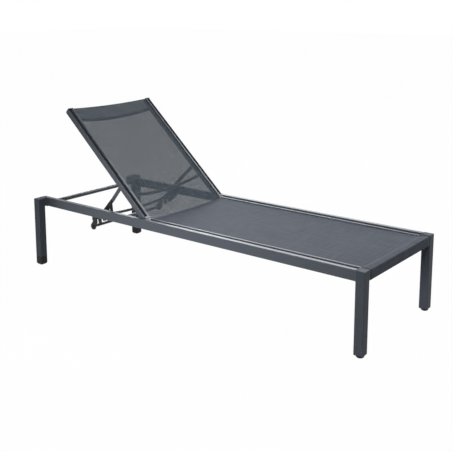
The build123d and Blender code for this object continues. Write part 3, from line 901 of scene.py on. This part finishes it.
def stitch_tree():
    """Short rounded threads laid one after another along each path."""
    tree, start, end = path_tree("stitch row", ("Stitch pitch", "Stitch length", "Thread radius"))
    points = spaced_points(tree, start, "Stitch pitch")
    thread = tree.nodes.new("GeometryNodeMeshUVSphere")
    thread.inputs["Segments"].default_value = 6
    thread.inputs["Rings"].default_value = 5
    tree.links.new(start.outputs["Thread radius"], thread.inputs["Radius"])
    ratio = reckon(tree, "DIVIDE", start.outputs["Stitch length"], start.outputs["Thread radius"])
    size = tree.nodes.new("ShaderNodeCombineXYZ")
    size.inputs["X"].default_value = 1.0
    size.inputs["Y"].default_value = 1.0
    tree.links.new(reckon(tree, "MULTIPLY", ratio, 0.5), size.inputs["Z"])
    tangent = tree.nodes.new("GeometryNodeInputTangent")
    turn = tree.nodes.new("FunctionNodeAlignRotationToVector")
    turn.axis = "Z"
    tree.links.new(tangent.outputs["Tangent"], turn.inputs["Vector"])
    lay = tree.nodes.new("GeometryNodeInstanceOnPoints")
    tree.links.new(points, lay.inputs["Points"])
    tree.links.new(thread.outputs["Mesh"], lay.inputs["Instance"])
    tree.links.new(turn.outputs["Rotation"], lay.inputs["Rotation"])
    tree.links.new(size.outputs["Vector"], lay.inputs["Scale"])
    finish_tree(tree, start, end, lay.outputs["Instances"])
    return tree


def weld_tree():
    """Overlapping ripples of a weld bead along each path."""
    tree, start, end = path_tree("weld bead", ("Ripple pitch", "Bead radius"))
    points = spaced_points(tree, start, "Ripple pitch")
    ripple = tree.nodes.new("GeometryNodeMeshUVSphere")
    ripple.inputs["Segments"].default_value = 8
    ripple.inputs["Rings"].default_value = 6
    tree.links.new(start.outputs["Bead radius"], ripple.inputs["Radius"])
    wobble = tree.nodes.new("FunctionNodeRandomValue")
    wobble.data_type = "FLOAT"
    for socket in wobble.inputs:
        if socket.enabled and socket.name in RIPPLE_SIZES:
            socket.default_value = RIPPLE_SIZES[socket.name]
    wobble.inputs["Seed"].default_value = RIPPLE_SEED
    lay = tree.nodes.new("GeometryNodeInstanceOnPoints")
    tree.links.new(points, lay.inputs["Points"])
    tree.links.new(ripple.outputs["Mesh"], lay.inputs["Instance"])
    value = next(socket for socket in wobble.outputs if socket.enabled)
    tree.links.new(value, lay.inputs["Scale"])
    finish_tree(tree, start, end, lay.outputs["Instances"])
    return tree


def run_along(name, paths, closed, tree, values, finish):
    """A plain mesh of what a tree lays along paths, each a list of points."""
    mesh = bpy.data.meshes.new(name)
    points, edges = [], []
    for path in paths:
        first = len(points)
        points += path
        edges += [(first + i, first + i + 1) for i in range(len(path) - 1)]
        if closed:
            edges.append((len(points) - 1, first))
    mesh.from_pydata([tuple(point) for point in points], edges, [])
    piece = add_piece(name, mesh, None)
    layer = piece.modifiers.new(tree.name, "NODES")
    layer.node_group = tree
    for socket in tree.interface.items_tree:
        if socket.item_type != "SOCKET" or socket.in_out != "INPUT":
            continue
        if socket.name == "Finish":
            layer[socket.identifier] = finish
        elif socket.name in values:
            layer[socket.identifier] = values[socket.name]
    bake_modifiers(piece)
    return piece


# ---- weld paths -----------------------------------------------------------------------


def outline(points):
    """Convex outline of flat points, anticlockwise."""
    ordered = sorted(set(points))

    def half(run):
        kept = []
        for point in run:
            while len(kept) > 1 and turn_of(kept[-2], kept[-1], point) <= 0:
                kept.pop()
            kept.append(point)
        return kept[:-1]

    return half(ordered) + half(reversed(ordered))


def turn_of(first, second, third):
    """Positive where three flat points turn left."""
    a = (second[0] - first[0]) * (third[1] - first[1])
    b = (second[1] - first[1]) * (third[0] - first[0])
    return a - b


def tube_end(node, axis, sign):
    """The outline of a tube's end face, on the side that an axis and a sign name."""
    vertices = [vertex.co for vertex in frame["nodes"][node].data.vertices]
    reach = max(sign * point[axis] for point in vertices)
    rest = [i for i in range(3) if i != axis]
    face = [
        (round(point[rest[0]], 5), round(point[rest[1]], 5))
        for point in vertices
        if reach - sign * point[axis] < TUBE_END_DEPTH
    ]
    path = []
    for first, second in outline(face):
        spot = Vector((0.0, 0.0, 0.0))
        spot[axis] = sign * reach
        spot[rest[0]] = first
        spot[rest[1]] = second
        path.append(spot)
    return path


def welds_of(body):
    """Weld paths of one body: where each of its welded tubes ends."""
    return [tube_end(node, axis, end) for node, axis, ends in WELDED_TUBES[body] for end in ends]


# ---- stitches -------------------------------------------------------------------------


def seat_seams(sling):
    """Two rows of stitches by the rear edge, on both faces."""
    level = TRACK_HIGH.z - SLOT_DROP
    face = sling.thickness / 2 + THREAD_LIFT
    places = across(SEAM_HALF_WIDTH)[1:-1]
    sides = (level + face, level - fold_of(sling) - face)
    return [seat_row(sling, x, z, places) for x in SEAT_SEAMS for z in sides]


def backrest_seams(sling):
    """A row of stitches along the lower hem and two along the top hem, on both faces."""
    level = LIP_OVER_HINGE - SLOT_DROP
    face = sling.thickness / 2 + THREAD_LIFT
    places = across(SEAM_HALF_WIDTH)[1:-1]
    sides = (level + face, level - fold_of(sling) - face)
    return [backrest_row(sling, up, out, places) for up in BACKREST_SEAMS for out in sides]


def sew(name, seams, sling):
    """Stitches along seams."""
    values = {
        "Stitch pitch": sling.stitch_pitch,
        "Stitch length": sling.stitch_length,
        "Thread radius": THREAD_RADIUS,
    }
    thread = sewing_thread("sewing thread", sling.thread)
    return run_along(name, seams, False, stitch_tree(), values, thread)


# ---- stage ----------------------------------------------------------------------------


def seen_straight(tree):
    """1 for rays from the camera, gloss and glass, and 0 for rays that light a surface."""
    ray = tree.nodes.new("ShaderNodeLightPath")
    seen = reckon(tree, "MAXIMUM", ray.outputs["Is Camera Ray"], ray.outputs["Is Glossy Ray"])
    return reckon(tree, "MAXIMUM", seen, ray.outputs["Is Transmission Ray"])


def lay_floor(stage):
    """A wide pale floor that shows white and keeps the lounger's soft shadow."""
    mesh = bpy.data.meshes.new("studio_floor")
    sheet = bmesh.new()
    bmesh.ops.create_grid(sheet, x_segments=1, y_segments=1, size=30.0)
    sheet.to_mesh(mesh)
    sheet.free()
    material, tree, shader = new_material("pale floor")
    shader.inputs["Base Color"].default_value = (0.42, 0.42, 0.42, 1.0)
    shader.inputs["Roughness"].default_value = 0.9
    shader.inputs["Specular IOR Level"].default_value = 0.1
    white = tree.nodes.new("ShaderNodeEmission")
    white.inputs["Color"].default_value = (1.0, 1.0, 1.0, 1.0)
    join = tree.nodes.new("ShaderNodeMixShader")
    shown = reckon(tree, "MULTIPLY", seen_straight(tree), stage.backdrop)
    tree.links.new(shown, join.inputs[0])
    tree.links.new(shader.outputs["BSDF"], join.inputs[1])
    tree.links.new(white.outputs["Emission"], join.inputs[2])
    output = next(node for node in tree.nodes if node.bl_idname == "ShaderNodeOutputMaterial")
    tree.links.new(join.outputs["Shader"], output.inputs["Surface"])
    floor = add_piece("studio_floor", mesh, material)


def hang_lamp(name, power, place, size, beam, aim):
    """A soft disk lamp of cool light, whose beam is the angle that its light keeps within."""
    data = bpy.data.lights.new(name, "AREA")
    data.energy = power
    data.color = LAMP_COLOUR
    data.shape = "DISK"
    data.size = size
    data.spread = beam
    lamp = bpy.data.objects.new(name, data)
    bpy.context.scene.collection.objects.link(lamp)
    lamp.location = place
    lamp.rotation_mode = "QUATERNION"
    lamp.rotation_quaternion = (Vector(aim) - Vector(place)).to_track_quat("-Z", "Y")


def light_surround(stage):
    """A pale surround: white to the camera and in reflections, softer as light."""
    world = bpy.data.worlds.new("pale studio")
    bpy.context.scene.world = world
    world.use_nodes = True
    tree = world.node_tree
    tree.nodes.clear()
    strength = spread(tree, seen_straight(tree), stage.surround, 1.0)
    back = tree.nodes.new("ShaderNodeBackground")
    back.inputs["Color"].default_value = (1.0, 1.0, 1.0, 1.0)
    tree.links.new(strength, back.inputs["Strength"])
    output = tree.nodes.new("ShaderNodeOutputWorld")
    tree.links.new(back.outputs["Background"], output.inputs["Surface"])


def stand_camera(stage):
    """The camera, by the foot end's near corner."""
    data = bpy.data.cameras.new("camera")
    data.lens = stage.lens
    data.sensor_width = 36.0
    data.shift_y = stage.shift
    data.clip_start = 0.05
    data.clip_end = 100.0
    camera = bpy.data.objects.new("camera", data)
    bpy.context.scene.collection.objects.link(camera)
    turn, tilt = stage.azimuth, stage.elevation
    back = Vector(
        (math.sin(turn) * math.cos(tilt), -math.cos(turn) * math.cos(tilt), math.sin(tilt))
    )
    camera.location = stage.place
    camera.rotation_mode = "QUATERNION"
    camera.rotation_quaternion = (-back).to_track_quat("-Z", "Y")
    bpy.context.scene.camera = camera


# ---- operators ------------------------------------------------------------------------


class LOUNGER_OT_frame_finish(bpy.types.Operator):
    """Powder coat on the tubes, duller on the legs, and black coat on the plates and the catches"""

    bl_idname = "lounger.frame_finish"
    bl_label = "Frame finish"

    def execute(self, context):
        coat = context.scene.lounger_coat
        tube = powder_coat("anthracite powder coat", coat.colour, coat.roughness, coat.grain)
        legs = powder_coat("leg powder coat", coat.colour, LEG_ROUGHNESS, coat.grain, LEG_GLOSS)
        grain = coat.grain * BLACK_GRAIN_SHARE
        black = powder_coat("black coat", coat.black, coat.roughness, grain)
        finish_nodes("frame_coat", tube)
        finish_nodes("black_metal", black)
        for name in LEGS:
            finish_node(name, legs)
        return {"FINISHED"}


class LOUNGER_OT_fittings(bpy.types.Operator):
    """Moulded plastic on feet, plugs, caps and bead rods, and plating on the fasteners"""

    bl_idname = "lounger.fittings"
    bl_label = "Fittings"

    def execute(self, context):
        plastic = context.scene.lounger_plastic
        moulded = moulded_plastic("black moulded plastic", plastic.colour, plastic.roughness)
        finish_nodes("black_plastic", moulded)
        rods = moulded_plastic("bead rod plastic", plastic.colour, BEAD_ROUGHNESS)
        finish_nodes("bead_plastic", rods)
        caps = moulded_plastic("anthracite cap plastic", plastic.caps, CAP_ROUGHNESS)
        finish_nodes("grey_plastic", caps)
        finish_nodes("bright_steel", plated_steel("plated steel"))
        return {"FINISHED"}


class LOUNGER_OT_seat_sling(bpy.types.Operator):
    """Seat sling: held in the side tracks, wrapped round the front crossbar and sewn by its rear hem"""

    bl_idname = "lounger.seat_sling"
    bl_label = "Seat sling"

    def execute(self, context):
        sling = context.scene.lounger_sling
        # the seat's yarn colour carries painted shade, darker and bluer than the backrest's same cloth
        weave = woven_mesh("seat weave", sling, sling.seat_shaded_colour, sling.seat_openness)
        rows = seat_rows(sling)
        seat, width, length = weave_cloth("seat_mesh_sling", rows, (), sling.thickness, weave)
        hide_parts("seat_sling")
        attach(seat, "bed_frame")
        stitches = sew("seat_stitches", seat_seams(sling), sling)
        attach(stitches, "bed_frame")
        return {"FINISHED"}


class LOUNGER_OT_backrest_sling(bpy.types.Operator):
    """Backrest sling: held in the backrest's tracks, with a deep hem at its top edge"""

    bl_idname = "lounger.backrest_sling"
    bl_label = "Backrest sling"

    def execute(self, context):
        sling = context.scene.lounger_sling
        openness = sling.backrest_openness
        weave = woven_mesh("backrest weave", sling, sling.backrest_colour, openness)
        rows = backrest_rows(sling)
        hem = range(len(rows) - 1 - HEM_STEPS, len(rows))
        backrest, width, length = weave_cloth("backrest_mesh_sling", rows, hem, sling.thickness, weave)
        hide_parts("backrest_sling")
        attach(backrest, "backrest")
        stitches = sew("backrest_stitches", backrest_seams(sling), sling)
        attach(stitches, "backrest")
        return {"FINISHED"}


class LOUNGER_OT_welds(bpy.types.Operator):
    """Weld beads round the ends of the crossbars, spreaders, rails, corner blocks and bows"""

    bl_idname = "lounger.welds"
    bl_label = "Weld beads"

    def execute(self, context):
        coat, weld = context.scene.lounger_coat, context.scene.lounger_weld
        tree = weld_tree()
        finish = powder_coat("coated weld", coat.colour, coat.roughness, coat.grain)
        values = {"Ripple pitch": weld.ripple_pitch, "Bead radius": weld.bead_radius}
        for body in ("bed_frame", "backrest", "prop"):
            beads = run_along(f"weld_beads_{body}", welds_of(body), True, tree, values, finish)
            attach(beads, body)
        return {"FINISHED"}


class LOUNGER_OT_stage(bpy.types.Operator):
    """Pale floor, soft lamps and the camera"""

    bl_idname = "lounger.stage"
    bl_label = "Stage"

    def execute(self, context):
        stage = context.scene.lounger_stage
        lay_floor(stage)
        for name, setting, place, size, beam, aim in LAMPS:
            hang_lamp(name, getattr(stage, setting), place, size, beam, aim)
        light_surround(stage)
        stand_camera(stage)
        context.scene.view_settings.view_transform = "Standard"
        return {"FINISHED"}


# ---- panel, registration and making ---------------------------------------------------


class LOUNGER_PT_panel(bpy.types.Panel):
    """Pieces of the lounger"""

    bl_label = "Sun lounger"
    bl_idname = "LOUNGER_PT_panel"
    bl_space_type = "VIEW_3D"
    bl_region_type = "UI"
    bl_category = "Lounger"

    def draw(self, context):
        for name, group in GROUPS.items():
            box = self.layout.box()
            settings = getattr(context.scene, name)
            for field in group.__annotations__:
                box.prop(settings, field)
        for step in STEPS:
            self.layout.operator(step.bl_idname)


STEPS = (
    LOUNGER_OT_stage,
    LOUNGER_OT_frame_finish,
    LOUNGER_OT_fittings,
    LOUNGER_OT_seat_sling,
    LOUNGER_OT_backrest_sling,
    LOUNGER_OT_welds,
)


def register():
    for item in (*GROUPS.values(), *STEPS, LOUNGER_PT_panel):
        bpy.utils.register_class(item)
    for name, group in GROUPS.items():
        setattr(bpy.types.Scene, name, PointerProperty(type=group))


def unregister():
    for name in GROUPS:
        delattr(bpy.types.Scene, name)
    for item in (LOUNGER_PT_panel, *reversed(STEPS), *reversed(GROUPS.values())):
        bpy.utils.unregister_class(item)


def main():
    register()
    bpy.ops.lounger.stage()
    bpy.ops.lounger.frame_finish()
    bpy.ops.lounger.fittings()
    bpy.ops.lounger.seat_sling()
    bpy.ops.lounger.backrest_sling()
    bpy.ops.lounger.welds()


if __name__ == "__main__":
    main()
